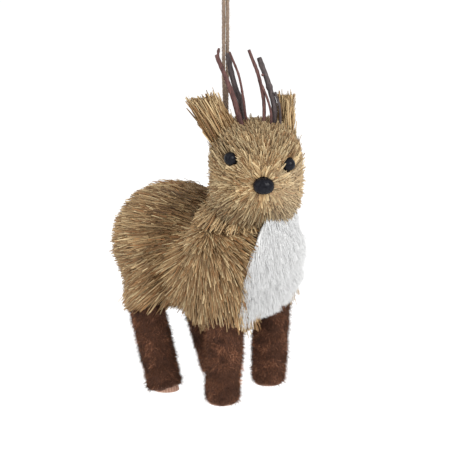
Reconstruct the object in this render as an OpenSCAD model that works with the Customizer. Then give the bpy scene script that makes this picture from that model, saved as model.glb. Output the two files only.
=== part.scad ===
// Hanging deer ornament: straw bristles over a soft core, twig antlers, felt-covered legs and a
// doubled jute twine. The origin is the top of the twine's loop, where a hook carries it. +Z is
// up, the deer faces -Y and its own left is +X. Inside placed() heights are counted from the soles.

/* [Body] */
// Radius of the trimmed rump
rump_r = 25; // [22:0.5:27]
// Distance from the leg centre to the middle of the rump's round end
rump_back = 25.5; // [20:0.5:28]
// Height of the middle of the rump above the soles
rump_z = 58.5; // [54:0.5:60]
// Radius of the shoulders at their widest
shoulder_r = 25; // [23:0.5:27]
// Half width of the pressed core inside the body
core_half_w = 19; // [17:0.5:20]

/* [Head] */
// Radius of the trimmed head
head_r = 19; // [18:0.5:22]
// Height of the crown above the head's centre
crown_h = 21; // [20:0.5:26]
// Depth of the chin below the head's centre
chin_h = 24; // [22:0.5:26]
// Height of the head's centre above the soles
head_z = 99; // [97:0.5:102]
// How far the head turns to the deer's right, in degrees
head_turn = 45; // [0:5:60]
// Radius of the round core inside the head
head_core_r = 13; // [11:0.5:14]
// Radius of each eye bead
eye_r = 2.75; // [2:0.25:3.5]
// Half of the nose bead's width
nose_half_w = 4.4; // [3:0.2:5]

/* [Legs] */
// Each leg: its sole's place across and behind the leg centre, and its slant in degrees
leg_front_left = [16.2, -14, 3]; // [-20:0.1:20]
leg_front_right = [-16.5, -14.4, 3]; // [-20:0.1:20]
leg_rear_left = [16.5, 12.6, -19]; // [-20:0.1:20]
leg_rear_right = [-17.1, 15.2, -16.4]; // [-20:0.1:20]
// Radius of a felt sleeve at the top
leg_top_r = 7.9; // [7:0.1:9]
// Radius of a felt sleeve at the foot
leg_foot_r = 7.1; // [6.4:0.1:8]
// Radius of the wooden leg inside the felt
leg_core_r = 5.6; // [4.5:0.1:6]

/* [Twine] */
// Height of the loop's top above the soles
hang_h = 187; // [180:1:200]
// Diameter of one strand of twine
twine_d = 1.4; // [1:0.1:1.8]
// Radius of the knot at the nape
knot_r = 2.4; // [2:0.1:3]

/* [Hidden] */
$fn = 64;
fit = 0.15;                        // clearance between pieces that are glued together
head_y = -20.4;                    // head centre, in front of the leg centre
shoulder_y = -12;                  // axis of the shoulders
twine_y = -3.6;                    // the twine hangs over the ornament's centre of mass
knot_z = 113;
knot_w = 4;                        // the knot lies across the deer, as a short barrel
knot_run = 0.12;                   // running clearance of the knot in its pocket
knot_play = 0.7;                   // free width at each end of the knot
collar_r = 5.4;                    // room for the wire binding around the peg
neck_r = 3;                        // wooden peg between body and head
neck_y = -18;
neck_low = 50;
neck_high = 93;
core_low = 44.6;
core_high = 68;
core_front = -26;
core_back = 38;
core_corner = 11;
rump_run = 27.5;                   // length of the rump's drum
rump_narrow = 0.8;
skirt_z = 33.5;                    // lowest straw, around the tops of the legs
skirt_r = 10;
skirt_x = 15.5;
skirt_front_y = -15.4;
skirt_back_y = 24;
skirt_top = 52;
left_skirt_rise = 8;               // the straw is cut higher over the left front leg
leg_top_z = 43.5;
felt_low = 1.5;                    // the wooden leg shows below the felt by this much
peg_r = 1.2;
peg_low = 28;
peg_high = 50;
bib_half_angle = 50;
bib_low = 36;
bib_high = 76;
pile = 3.5;                        // depth of the fur's backing and pile under the straw's outline
shank_r = 0.6;

STRAW = [0.72, 0.60, 0.42];
CORE = [0.80, 0.74, 0.62];
FELT = [0.40, 0.22, 0.15];
WOOD = [0.72, 0.55, 0.44];
BARK_RED = [0.42, 0.24, 0.22];
BARK_GREY = [0.33, 0.28, 0.28];
BEAD = [0.03, 0.03, 0.04];
JUTE = [0.64, 0.54, 0.43];

// Twigs: each point is [across, back, up] from the head's centre, root first.
right_main = [[-3.6, -1.6, 7], [-8.6, 0.6, 25.9], [-10.7, 1.5, 33.2], [-13.5, 2.5, 40.6],
    [-16.5, 6, 48.4]];
right_fork = [[-15.6, 5, 46.2], [-15.7, 6.4, 48.6], [-15.2, 7.5, 50.7]];
right_back = [[-3.5, 5, 7], [-6.3, 4.8, 27], [-8.4, 4.8, 33.5], [-10.3, 5, 40.3], [-11.7, 5.2, 49]];
right_thin = [[-2, 1.5, 7], [-4.9, 1, 23.2], [-5.8, 1.5, 30.5], [-7.7, 2, 40.4], [-11.5, 2, 50.4]];
left_thin = [[1.2, 0, 7], [2.9, 1, 24.7], [1.3, 4, 37.7], [-2.8, 7, 49.8]];
left_branch = [[4, -2.5, 7], [5.4, -1.2, 24.5], [1.4, 3.8, 37.6]];
left_main = [[6.4, 1.5, 7], [7.1, 1, 25.2], [6, 3, 32.1], [3.9, 5, 39.2], [1.6, 8, 46]];
left_side = [[8.8, -1, 7], [9.4, -0.6, 24.3], [7.4, 0.8, 33]];
thick = 1.25;
slim = 0.8;
fine = 0.55;

// One strand of the twine, from the knot to the loop: [x, y, height above the soles].
// The other strand is the same one turned half way around.
strand = [
    [0.8, 0, 116.3], [0.9, 0, 121], [1.1, 0.2, 127], [1.2, 0, 134], [1.1, -0.2, 141],
    [0.85, -0.3, 147], [0.5, -0.65, 153], [0.25, -0.8, 159], [0.4, -0.7, 164], [0.7, -0.45, 168],
    [1.1, -0.2, 171.5], [2.3, 0, 175.3], [3.9, 0, 179.5], [4.2, 0, 183], [2.6, 0, 186.2]
];
loop_top = [0, 0, 187];

// Puts a shape that is drawn up from the soles into the frame of the hook.
module placed() translate([0, -twine_y, -hang_h]) children();

// Puts a shape that is drawn around the head's centre into place, with the head's turn.
module in_head() translate([0, head_y, head_z]) rotate([0, 0, -head_turn]) children();

// A straight round rod between two points.
module rod(a, b, r) {
    d = b - a;
    translate(a) rotate([0, acos(d.z / norm(d)), atan2(d.y, d.x)]) cylinder(h = norm(d), r = r);
}

// ---- tubes swept along points ----
function lerp(a, b, t) = a + (b - a) * t;
function spline(p, q, r, s, t) =
    0.5 * (2 * q + (r - p) * t + (2 * p - 5 * q + 4 * r - s) * t * t
    + (3 * q - p - 3 * r + s) * t * t * t);
function at(pts, i) = pts[max(0, min(len(pts) - 1, i))];
function smooth(pts, steps) = concat(
    [for (i = [0 : len(pts) - 2], k = [0 : steps - 1])
        spline(at(pts, i - 1), pts[i], pts[i + 1], at(pts, i + 2), k / steps)],
    [pts[len(pts) - 1]]);
function unit(v) = v / norm(v);
function heading(pts, i) = unit(at(pts, i + 1) - at(pts, i - 1));
// Carries a sideways vector along the tube without twist.
function carried(pts, i, side) = let(t = heading(pts, i)) unit(side - (side * t) * t);
function sides(pts, i = 0, side = [0, 1, 0.01]) = let(s = carried(pts, i, side))
    i == len(pts) - 1 ? [s] : concat([s], sides(pts, i + 1, s));

module tube(pts, radii, n = 8) {
    across = sides(pts);
    ring = [for (i = [0 : len(pts) - 1]) let(t = heading(pts, i), b = cross(t, across[i]))
        for (k = [0 : n - 1])
            pts[i] + radii[i] * (across[i] * cos(360 * k / n) + b * sin(360 * k / n))];
    last = (len(pts) - 1) * n;
    skin = [for (i = [0 : len(pts) - 2], k = [0 : n - 1]) let(j = (k + 1) % n)
        [i * n + k, (i + 1) * n + k, (i + 1) * n + j, i * n + j]];
    polyhedron(ring, concat([[for (k = [0 : n - 1]) k]], skin,
        [[for (k = [n - 1 : -1 : 0]) last + k]]));
}

// A twig: straight in its hole, then through its bends, thinner towards the tip.
module twig(pts, r, tip = 0.85) {
    path = concat([pts[0]], smooth([for (i = [1 : len(pts) - 1]) pts[i]], 3));
    tube(path, [for (i = [0 : len(path) - 1]) r * lerp(1.03, tip, i / (len(path) - 1))], 10);
}

module twig_hole(pts, r) rod(pts[0] - [0, 0, 0.3], pts[1], r + fit + 0.1);

// ---- core pieces ----
module core_block(gap = 0)
    translate([0, 0, core_low - gap]) linear_extrude(core_high - core_low + 2 * gap)
        for (sx = [-1, 1], y = [core_front + core_corner, core_back - core_corner])
            union() {
                translate([sx * (core_half_w - core_corner), y]) circle(core_corner + gap);
                translate([-core_half_w + core_corner, core_front - gap])
                    square([2 * (core_half_w - core_corner), core_back - core_front + 2 * gap]);
                translate([-core_half_w - gap, core_front + core_corner])
                    square([2 * (core_half_w + gap), core_back - core_front - 2 * core_corner]);
            }

module neck_hole(gap) translate([0, neck_y, neck_low - gap])
    cylinder(h = neck_high - neck_low + 2 * gap, r = neck_r + gap);

// ---- legs: drawn along their own axis from the sole, then set in place ----
legs = [leg_front_left, leg_front_right, leg_rear_left, leg_rear_right];
module leg_place(leg) translate([leg.x, leg.y, 0]) rotate([leg.z, 0, 0]) children();
module above_floor() difference() {
    children();
    translate([-60, -60, -20]) cube([120, 120, 20]);
}
module sleeve(gap = 0, more = 0)
    translate([0, 0, -4]) cylinder(h = leg_top_z + 4 + more, r1 = leg_foot_r + gap,
        r2 = leg_top_r + gap);
// Room for a leg in the straw, up to the core.
module leg_room(leg) leg_place(leg) sleeve(fit, 8);
module leg_core(leg) above_floor() leg_place(leg) difference() {
    translate([0, 0, -4]) cylinder(h = leg_top_z + 4, r = leg_core_r);
    translate([0, 0, peg_low]) cylinder(h = peg_high, r = peg_r + fit);
}
module leg_felt(leg) difference() {
    leg_place(leg) difference() {
        sleeve();
        translate([0, 0, -5]) cylinder(h = leg_top_z + 6, r = leg_core_r + fit);
    }
    translate([-60, -60, felt_low - 20]) cube([120, 120, 20]);
}

// ---- coats ----
module head_form(gap = 0) {
    translate([0, 0, crown_h - head_r]) sphere(head_r + gap);
    translate([0, 0, head_r - chin_h]) sphere(head_r + gap);
    translate([0, 0, head_r - chin_h])
        cylinder(h = crown_h + chin_h - 2 * head_r, r = head_r + gap);
}
shoulder_line = [[21.5, 33.5], [23.5, 45], [shoulder_r, 58], [shoulder_r + 0.5, 69],
    [22.5, 77], [16, 83], [10, 85]];
module shoulder_form(gap = 0) translate([0, shoulder_y, 0]) rotate_extrude()
    polygon(concat([[0, shoulder_line[0].y - gap]],
        [for (p = shoulder_line) p + [gap, p == shoulder_line[0] ? -gap : 0]],
        [[0, shoulder_line[len(shoulder_line) - 1].y + gap]]));

// The fur lies on the front of the shoulders, between two vertical sides.
module bib(inner, outer, low, high, half_angle) translate([0, shoulder_y, 0])
    rotate([0, 0, -90 - half_angle]) rotate_extrude(angle = 2 * half_angle)
        polygon([[22 - inner, low], [22 + outer, low], [shoulder_r + outer, 58],
            [shoulder_r + 0.5 + outer, 69], [23.5 + outer, high], [23.5 - inner, high],
            [shoulder_r + 0.5 - inner, 69], [shoulder_r - inner, 58]]);

// The straw reaches down around the top of each leg.
module skirt(side, y, low, gap = 0) translate([side * skirt_x, y, low - gap])
    cylinder(h = skirt_top - low + 2 * gap, r = skirt_r + gap);
module front_skirts(gap = 0) {
    skirt(-1, skirt_front_y, skirt_z, gap);
    skirt(1, skirt_front_y, skirt_z + left_skirt_rise, gap);
}
// The rump: a round end and a drum that narrows a little as it runs forward to the shoulders.
module rump_form() {
    translate([0, rump_back, rump_z]) rotate([90, 0, 0]) rotate_extrude()
        polygon(concat([[0, -rump_r]],
            [for (a = [75 : -15 : 0]) rump_r * [cos(a), -sin(a)]],
            [[rump_r - rump_narrow, rump_run], [0, rump_run]]));
    for (side = [-1, 1]) skirt(side, skirt_back_y, skirt_z);
}

// A short cylinder that lies across the deer.
module barrel(w, r) rotate([0, 90, 0]) cylinder(h = w, r = r, center = true);

// The way the twine swings through when the ornament tips, seen from its side.
module twine_slot() translate([-2.4, 0, 0]) rotate([90, 0, 90]) linear_extrude(4.8)
    polygon([[twine_y - 2, knot_z], [twine_y - 4, knot_z + 13], [twine_y + 22, knot_z + 13],
        [twine_y + 22, knot_z + 5], [twine_y + 2, knot_z - 1.2]]);

// An ear: a flat bunch, wider at its root.
module ear_shape(root, tip, root_half, tip_half, gap = 0) {
    d = tip - root;
    translate(root) rotate([-atan2(d.y, norm([d.x, d.z])), atan2(d.x, d.z), 0])
        translate([0, 2.25 + gap, -gap]) rotate([90, 0, 0]) linear_extrude(4.5 + 2 * gap)
            polygon([[-root_half - gap, 0], [root_half + gap, 0],
                [tip_half + gap, norm(d) + gap], [-tip_half - gap, norm(d) + gap]]);
}
module right_ear(gap = 0) ear_shape([-12, 2, 13], [-23.2, 2.5, 31.6], 7.6, 5, gap);
module left_ear(gap = 0) ear_shape([11.8, 4, 12.5], [12.9, 6, 30.6], 4.6, 2.8, gap);

// ---- beads: a wire shank runs from each towards the head's centre ----
left_eye = [10.9, -15.2, 6.2];
right_eye = [-13.2, -13.8, 9.2];
nose_at = [-0.1, -19.3, -1.5];
module shank(p, gap = 0) rod(p * (head_core_r - 3 - gap) / norm(p), p, shank_r + gap);
module eye(p) {
    translate(p) sphere(eye_r);
    shank(p);
}
// A pocket for each bead, with the straw opened in front of the eyes.
module bead_holes() {
    for (p = [left_eye, right_eye]) {
        rod(0.82 * p, 1.4 * p, eye_r + fit);
        shank(p, fit);
    }
    translate(nose_at) sphere(nose_half_w + fit);
    shank(nose_at, fit);
}
module twig_holes() {
    for (t = [right_main, right_back, left_main]) twig_hole(t, thick);
    twig_hole(left_thin, slim);
    for (t = [right_thin, left_branch, left_side]) twig_hole(t, fine);
}

// ---- the parts ----
module body_core() color(CORE) placed() difference() {
    core_block();
    neck_hole(0.1);
    for (leg = legs) leg_place(leg) cylinder(h = peg_high + 0.3, r = peg_r + fit);
}

module rump_coat() color(STRAW) placed() difference() {
    rump_form();
    shoulder_form(fit);
    front_skirts(fit);
    core_block(fit);
    for (leg = [leg_rear_left, leg_rear_right]) leg_room(leg);
}

module shoulder_coat() color(STRAW) placed() difference() {
    union() {
        shoulder_form();
        front_skirts();
    }
    core_block(fit);
    translate([0, head_y, head_z]) head_form(0.25);
    translate([0, neck_y, core_high - 1]) cylinder(h = 20, r = collar_r);
    for (leg = [leg_front_left, leg_front_right]) leg_room(leg);
    bib(pile, 9, bib_low - fit, bib_high + fit, bib_half_angle + 0.3);
}

module chest_fur() color("white") placed() difference() {
    bib(pile - fit, 0.8, bib_low, bib_high, bib_half_angle);
    translate([0, head_y, head_z]) head_form(0.25);
    for (leg = [leg_front_left, leg_front_right]) leg_room(leg);
}

module neck_dowel() color(WOOD) placed() translate([0, neck_y, neck_low])
    cylinder(h = neck_high - neck_low, r = neck_r);

// Four closed turns of wire bind the straw of the neck around the peg.
module neck_binding() color("silver") placed()
    for (k = [0 : 3]) translate([0, neck_y, 69.5 + 1.2 * k])
        rotate_extrude() translate([neck_r + 0.6, 0]) circle(0.5);

module head_core() color(CORE) placed() difference() {
    translate([0, head_y, head_z]) sphere(head_core_r);
    neck_hole(0.1);
    in_head() union() {
        bead_holes();
        twig_holes();
    }
}

module head_coat() color(STRAW) placed() difference() {
    translate([0, head_y, head_z]) difference() {
        head_form();
        sphere(head_core_r + fit);
    }
    translate([0, neck_y, head_z - 26]) cylinder(h = 20, r = neck_r + 0.2);
    in_head() union() {
        bead_holes();
        twig_holes();
        right_ear(fit);
        left_ear(fit);
    }
    translate([0, twine_y, knot_z]) barrel(knot_w + 2 * knot_play, knot_r + knot_run);
    twine_slot();
}

module ear_right() color(STRAW) placed() in_head() difference() {
    right_ear();
    twig_holes();
}
module ear_left() color(STRAW) placed() in_head() difference() {
    left_ear();
    twig_holes();
}
module eye_left() color(BEAD) placed() in_head() eye(left_eye);
module eye_right() color(BEAD) placed() in_head() eye(right_eye);
module nose() color(BEAD) placed() in_head() {
    intersection() {
        translate(nose_at) sphere(nose_half_w);
        translate(nose_at - [10, 10, 3.4]) cube([20, 20, 6.8]);
    }
    shank(nose_at);
}

module antler_right_main() color(BARK_RED) placed() in_head() {
    twig(right_main, thick, 0.65);
    tube(smooth(right_fork, 3), [for (i = [0 : 6]) fine], 10);
}
module antler_right_back() color(BARK_GREY) placed() in_head() twig(right_back, thick);
module antler_right_thin() color(BARK_RED) placed() in_head() twig(right_thin, fine);
module antler_left_main() color(BARK_GREY) placed() in_head() twig(left_main, thick);
module antler_left_fork() color(BARK_RED) placed() in_head() {
    twig(left_thin, slim);
    twig(left_branch, fine);
}
module antler_left_side() color(BARK_GREY) placed() in_head() twig(left_side, fine);

module leg_core_front_left() color(WOOD) placed() leg_core(leg_front_left);
module leg_core_front_right() color(WOOD) placed() leg_core(leg_front_right);
module leg_core_rear_left() color(WOOD) placed() leg_core(leg_rear_left);
module leg_core_rear_right() color(WOOD) placed() leg_core(leg_rear_right);
module leg_felt_front_left() color(FELT) placed() leg_felt(leg_front_left);
module leg_felt_front_right() color(FELT) placed() leg_felt(leg_front_right);
module leg_felt_rear_left() color(FELT) placed() leg_felt(leg_rear_left);
module leg_felt_rear_right() color(FELT) placed() leg_felt(leg_rear_right);

module leg_pegs() color("silver") placed()
    for (leg = legs) leg_place(leg)
        translate([0, 0, peg_low]) cylinder(h = peg_high - peg_low, r = peg_r);

// The knot with the short neck that both strands run into.
module twine_knot() color(JUTE) placed() translate([0, twine_y, knot_z]) {
    barrel(knot_w, knot_r);
    cylinder(h = 3.3, r = 1.7);
}

module hanging_twine() color(JUTE) placed() translate([0, twine_y, 0]) {
    other = [for (i = [len(strand) - 1 : -1 : 0]) [-strand[i].x, -strand[i].y, strand[i].z]];
    path = smooth(concat(strand, [loop_top], other), 2);
    tube(path, [for (p = path) twine_d / 2], 8);
}

body_core();
rump_coat();
shoulder_coat();
chest_fur();
neck_dowel();
neck_binding();
head_core();
head_coat();
ear_left();
ear_right();
eye_left();
eye_right();
nose();
antler_right_main();
antler_right_back();
antler_right_thin();
antler_left_main();
antler_left_fork();
antler_left_side();
leg_core_front_left();
leg_core_front_right();
leg_core_rear_left();
leg_core_rear_right();
leg_felt_front_left();
leg_felt_front_right();
leg_felt_rear_left();
leg_felt_rear_right();
leg_pegs();
twine_knot();
hanging_twine();
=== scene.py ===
import math

import bpy
import numpy as np
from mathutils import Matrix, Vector


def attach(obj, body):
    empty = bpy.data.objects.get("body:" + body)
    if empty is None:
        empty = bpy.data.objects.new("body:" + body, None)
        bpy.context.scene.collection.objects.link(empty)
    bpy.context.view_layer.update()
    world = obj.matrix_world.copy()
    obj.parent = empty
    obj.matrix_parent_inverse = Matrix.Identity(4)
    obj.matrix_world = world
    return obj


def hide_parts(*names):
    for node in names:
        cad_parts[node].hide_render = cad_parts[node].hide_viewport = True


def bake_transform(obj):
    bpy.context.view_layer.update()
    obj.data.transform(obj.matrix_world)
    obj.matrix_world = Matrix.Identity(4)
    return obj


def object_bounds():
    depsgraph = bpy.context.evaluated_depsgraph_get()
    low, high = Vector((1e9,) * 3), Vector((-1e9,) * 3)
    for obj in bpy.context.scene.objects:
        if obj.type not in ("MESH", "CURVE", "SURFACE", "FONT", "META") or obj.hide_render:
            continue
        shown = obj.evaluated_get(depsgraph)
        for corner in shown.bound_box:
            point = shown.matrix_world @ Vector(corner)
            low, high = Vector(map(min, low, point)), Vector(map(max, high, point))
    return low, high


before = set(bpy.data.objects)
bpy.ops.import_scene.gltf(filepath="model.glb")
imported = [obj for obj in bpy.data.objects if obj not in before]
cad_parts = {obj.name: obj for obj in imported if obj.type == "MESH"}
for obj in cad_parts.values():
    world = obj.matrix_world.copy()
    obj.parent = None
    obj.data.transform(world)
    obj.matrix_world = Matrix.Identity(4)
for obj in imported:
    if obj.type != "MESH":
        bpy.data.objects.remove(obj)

# The deer is drawn in millimetres around the point midway between its four soles, with its face
# towards -Y, and row() takes such points into the CAD's frame, whose origin is the hook.
CAD_BOX = [list(corner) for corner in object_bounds()]
MM = 0.001
SOLES = CAD_BOX[0][2]                      # height of the soles in the CAD's frame
TWINE_BACK = -3.6                          # the twine hangs this far in front of the legs' centre
HEAD = np.array([0.0, -20.4, 99.0])        # centre of the head
HEAD_TURN = math.radians(-45)
HEAD_HALF = np.array([18.3, 18.7, 23.4])   # the last is the depth of the chin
CROWN = 20.2
NOSE = np.array([-0.1, -19.4, -1.5])       # beads, from the head's centre
EYES = {"left": np.array([10.9, -15.3, 6.2]), "right": np.array([-13.2, -14.0, 9.2])}
EYE_R = 2.75
NOSE_HALF = np.array([4.4, 3.6, 3.5])
SHOULDER_Y = -12.0                         # the shoulders stand round this upright axis
BODY = (0.0, 4.0, 58.0)                    # a point inside the body that sees all of its outline
SKIRT_Z = 33.5                             # the straw's lower edge
LEGS = {                                   # sole's place, slant from sole to hip, and the radii
    "front_left": (16.2, -14.0, 3.0, 6.7, 7.4), "front_right": (-16.5, -14.4, 3.0, 6.8, 7.8),
    "rear_left": (16.5, 12.6, -19.0, 6.9, 7.4), "rear_right": (-17.1, 15.2, -16.4, 6.9, 7.2),
}
LEG_TOP = 47.5
PILE_TOP = 39.0                            # above this the felt is hidden in the straw
# Each ear's root and tip, from the head's centre.
EAR_RIGHT = ((-12.2, 0.8, 11), (-23.0, 2.5, 31.0))
EAR_LEFT = ((12.0, 3.5, 10.5), (12.7, 5.5, 30.0))


def row(points):
    """Deer millimetres to metres in the CAD's frame."""
    p = np.asarray(points, float)
    return (p - (0, TWINE_BACK, 0)) * MM + (0, 0, SOLES)


def from_head(points):
    """Points drawn around the head's centre, with the face towards -Y, into the deer's frame."""
    p = np.asarray(points, float)
    c, s = math.cos(HEAD_TURN), math.sin(HEAD_TURN)
    return p @ np.array([[c, s, 0], [-s, c, 0], [0, 0, 1]]) + HEAD


def to_head(points):
    """The other way round: from the deer's frame to the head's own."""
    p = np.asarray(points, float) - HEAD
    c, s = math.cos(HEAD_TURN), math.sin(HEAD_TURN)
    return p @ np.array([[c, -s, 0], [s, c, 0], [0, 0, 1]])


def unit(v):
    return v / np.maximum(np.linalg.norm(v, axis=-1, keepdims=True), 1e-9)


def rotate_x(points, degrees):
    """Turns points about the X axis: negative degrees tip an upright rod's top backwards."""
    a = math.radians(degrees)
    c, s = math.cos(a), math.sin(a)
    return np.asarray(points, float) @ np.array([[1, 0, 0], [0, c, s], [0, -s, c]])


# ---------------------------------------------------------------- camera and light
VIEW_AZ, VIEW_EL = math.radians(-52.4), math.radians(16.8)
VIEW_WIDTH = 0.189                         # what the frame spans at the ornament
LENS = 400.0
SENSOR = 36.0


LOOK_AT = (0, -3.3, 71.7)
LIGHT_AWAY = 0.9                           # how far the lights stand from the ornament


def make_camera():
    look_at = Vector(row(LOOK_AT))
    back = Vector((math.sin(VIEW_AZ) * math.cos(VIEW_EL),
                   -math.cos(VIEW_AZ) * math.cos(VIEW_EL), math.sin(VIEW_EL)))
    camera = bpy.data.objects.new("camera", bpy.data.cameras.new("camera"))
    camera.data.lens = LENS
    camera.data.sensor_width = SENSOR
    camera.data.clip_start = 0.01
    camera.location = look_at + back * (VIEW_WIDTH * LENS / SENSOR)
    camera.rotation_euler = (-back).to_track_quat("-Z", "Y").to_euler()
    bpy.context.scene.collection.objects.link(camera)
    bpy.context.scene.camera = camera


def make_light(name, azimuth, elevation, size, power):
    """A soft square light that looks at the ornament."""
    a, e = math.radians(azimuth), math.radians(elevation)
    way = Vector((math.sin(a) * math.cos(e), -math.cos(a) * math.cos(e), math.sin(e)))
    data = bpy.data.lights.new(name, "AREA")
    data.shape, data.size, data.energy = "SQUARE", size, power
    light = bpy.data.objects.new(name, data)
    light.location = Vector(row([0, 0, 70])) + way * LIGHT_AWAY
    light.rotation_euler = (-way).to_track_quat("-Z", "Y").to_euler()
    bpy.context.scene.collection.objects.link(light)


def make_studio():
    world = bpy.data.worlds.new("studio")
    world.use_nodes = True
    world.node_tree.nodes["Background"].inputs["Color"].default_value = (1, 1, 1, 1)
    world.node_tree.nodes["Background"].inputs["Strength"].default_value = 1.03
    bpy.context.scene.world = world
    bpy.context.scene.view_settings.view_transform = "Standard"
    make_light("key", -15, 30, 0.5, 5.2)
    make_light("fill", -105, 28, 0.7, 1.6)
    floor = build_mesh("floor", np.array([(-3, -3, 0), (3, -3, 0), (3, 3, 0), (-3, 3, 0)], float)
                       + (0, 0, SOLES - 0.09), quads=np.array([(0, 1, 2, 3)]))
    floor.data.materials.append(floor_material())


# ---------------------------------------------------------------- mesh building
def build_mesh(name, verts, quads=None, tris=None, colour=None, smooth=False):
    """An object from arrays: points in metres, faces of four and of three, a colour a point."""
    faces = [np.asarray(f, np.int32) for f in (quads, tris) if f is not None and len(f)]
    loops = np.concatenate([f.ravel() for f in faces])
    sizes = np.concatenate([np.full(len(f), f.shape[1], np.int32) for f in faces])
    mesh = bpy.data.meshes.new(name)
    mesh.vertices.add(len(verts))
    mesh.vertices.foreach_set("co", np.asarray(verts, np.float32).ravel())
    mesh.loops.add(len(loops))
    mesh.loops.foreach_set("vertex_index", loops)
    mesh.polygons.add(len(sizes))
    mesh.polygons.foreach_set("loop_start", np.concatenate([[0], np.cumsum(sizes)[:-1]]))
    mesh.polygons.foreach_set("loop_total", sizes)
    mesh.polygons.foreach_set("use_smooth", np.full(len(sizes), smooth))
    if colour is not None:
        rgba = np.concatenate([colour, np.ones((len(colour), 1))], axis=1).astype(np.float32)
        mesh.attributes.new("tint", "FLOAT_COLOR", "POINT").data.foreach_set("color", rgba.ravel())
    mesh.update(calc_edges=True)
    mesh.validate()
    obj = bpy.data.objects.new(name, mesh)
    bpy.context.scene.collection.objects.link(obj)
    return obj


def ring_quads(rings, segments):
    """The faces between rings of points that follow one another."""
    k, j = np.arange(rings - 1)[:, None] * segments, np.arange(segments)[None, :]
    m = (j + 1) % segments
    return np.stack([k + j, k + m, k + segments + m, k + segments + j], axis=-1).reshape(-1, 4)


def ball_ways(columns, lines):
    """Directions all round a ball, from its lowest point up, line by line."""
    a = np.linspace(0, 2 * math.pi, columns, endpoint=False)
    e = np.linspace(-math.pi / 2, math.pi / 2, lines)
    return np.stack([np.outer(np.cos(e), np.cos(a)), np.outer(np.cos(e), np.sin(a)),
                     np.outer(np.sin(e), np.ones(columns))], axis=-1).reshape(-1, 3)


def fibres(name, roots, tips, facing, width, tint_root, tint_tip, material, rng,
           flat=0.45, bend=0.05, roll=0.5, point=0.5, rings=3, smooth=False):
    """A mesh of thin three-sided fibres, in deer millimetres, closed at the tip.

    facing is the way that each fibre's broad side looks, point is its width at the tip as a
    share of the widest, and bend how far it bows as a share of its length."""
    n = len(roots)
    along = tips - roots
    length = np.linalg.norm(along, axis=1, keepdims=True)
    side = unit(np.cross(along, facing + rng.normal(0, 0.15, (n, 3))))
    up = unit(np.cross(side, along))
    turn = rng.normal(0, roll, (n, 1))
    side, up = side * np.cos(turn) + up * np.sin(turn), up * np.cos(turn) - side * np.sin(turn)
    bow = (side * rng.normal(0, 1, (n, 1)) + up * rng.normal(0, 1, (n, 1))) * bend * length
    t = np.linspace(0, 1, rings)
    middle = (roots[:, None] + along[:, None] * t[None, :, None]
              + bow[:, None] * np.sin(math.pi * 0.5 * t)[None, :, None] ** 2)
    swell = np.interp(t, [0, 0.45, 1], [0.75, 1.0, point])
    corner = np.radians([90, 210, 330])
    across = (side[:, None, None] * np.cos(corner)[None, None, :, None]
              + flat * up[:, None, None] * np.sin(corner)[None, None, :, None])
    radius = (width[:, None] * swell[None, :] / 2)[:, :, None, None]
    verts = (middle[:, :, None] + across * radius).reshape(-1, 3)
    k = np.arange(rings - 1)[:, None] * 3
    c = np.arange(3)[None, :]
    d = (c + 1) % 3
    one = np.stack([k + c, k + d, k + 3 + d, k + 3 + c], axis=-1).reshape(-1, 4)
    first = (np.arange(n) * rings * 3)[:, None, None]
    quads = (one[None] + first).reshape(-1, 4)
    cap = np.array([[(rings - 1) * 3, (rings - 1) * 3 + 1, (rings - 1) * 3 + 2]])
    tris = (cap[None] + first).reshape(-1, 3)
    tint = (tint_root[:, None] * (1 - t)[None, :, None] + tint_tip[:, None] * t[None, :, None])
    tint = np.repeat(tint, 3, axis=1).reshape(-1, 3)
    obj = build_mesh(name, row(verts), quads, tris, np.clip(tint, 0, 1), smooth)
    obj.data.materials.append(material)
    return obj


def swept(path, radii, segments, bump=None):
    """Points and faces of a closed tube along path; bump(a, s) scales its radius by place."""
    path = np.asarray(path, float)
    ahead = unit(np.gradient(path, axis=0))
    side = unit(np.cross(ahead[0], (0.3, 0.9, 0.1)))
    sides = []
    for way in ahead:
        side = unit(side - way * (side @ way))
        sides.append(side)
    sides = np.array(sides)
    up = np.cross(ahead, sides)
    a = np.linspace(0, 2 * math.pi, segments, endpoint=False)
    s = np.concatenate([[0], np.cumsum(np.linalg.norm(np.diff(path, axis=0), axis=1))])
    r = np.asarray(radii, float)[:, None] * np.ones((1, segments))
    if bump is not None:
        r = r * bump(a[None, :], s[:, None])
    verts = (path[:, None] + r[..., None] * (sides[:, None] * np.cos(a)[None, :, None]
                                              + up[:, None] * np.sin(a)[None, :, None]))
    verts = np.concatenate([verts.reshape(-1, 3), path[:1], path[-1:]])
    first, last = len(path) * segments, (len(path) - 1) * segments
    around = [(j, (j + 1) % segments) for j in range(segments)]
    ends = [(first, after, j) for j, after in around]
    ends += [(first + 1, last + j, last + after) for j, after in around]
    return verts, ring_quads(len(path), segments), np.array(ends)


def smooth_path(points, steps):
    """A Catmull-Rom curve through the points."""
    p = np.asarray(points, float)
    q = np.concatenate([[2 * p[0] - p[1]], p, [2 * p[-1] - p[-2]]])
    out = []
    for i in range(1, len(q) - 2):
        for t in np.arange(steps) / steps:
            a, b, c, d = q[i - 1:i + 3]
            out.append(0.5 * (2 * b + (c - a) * t + (2 * a - 5 * b + 4 * c - d) * t ** 2
                              + (3 * b - a - 3 * c + d) * t ** 3))
    out.append(p[-1])
    return np.array(out)


# ---------------------------------------------------------------- materials
def material(name, roughness=0.7, specular=0.3, sheen=0.0):
    """A new material, its node tree and its shader, with the constant values set on it."""
    mat = bpy.data.materials.new(name)
    mat.use_nodes = True
    shader = mat.node_tree.nodes["Principled BSDF"]
    shader.inputs["Roughness"].default_value = roughness
    shader.inputs["Specular IOR Level"].default_value = specular
    shader.inputs["Sheen Weight"].default_value = sheen
    return mat, mat.node_tree, shader


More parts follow.
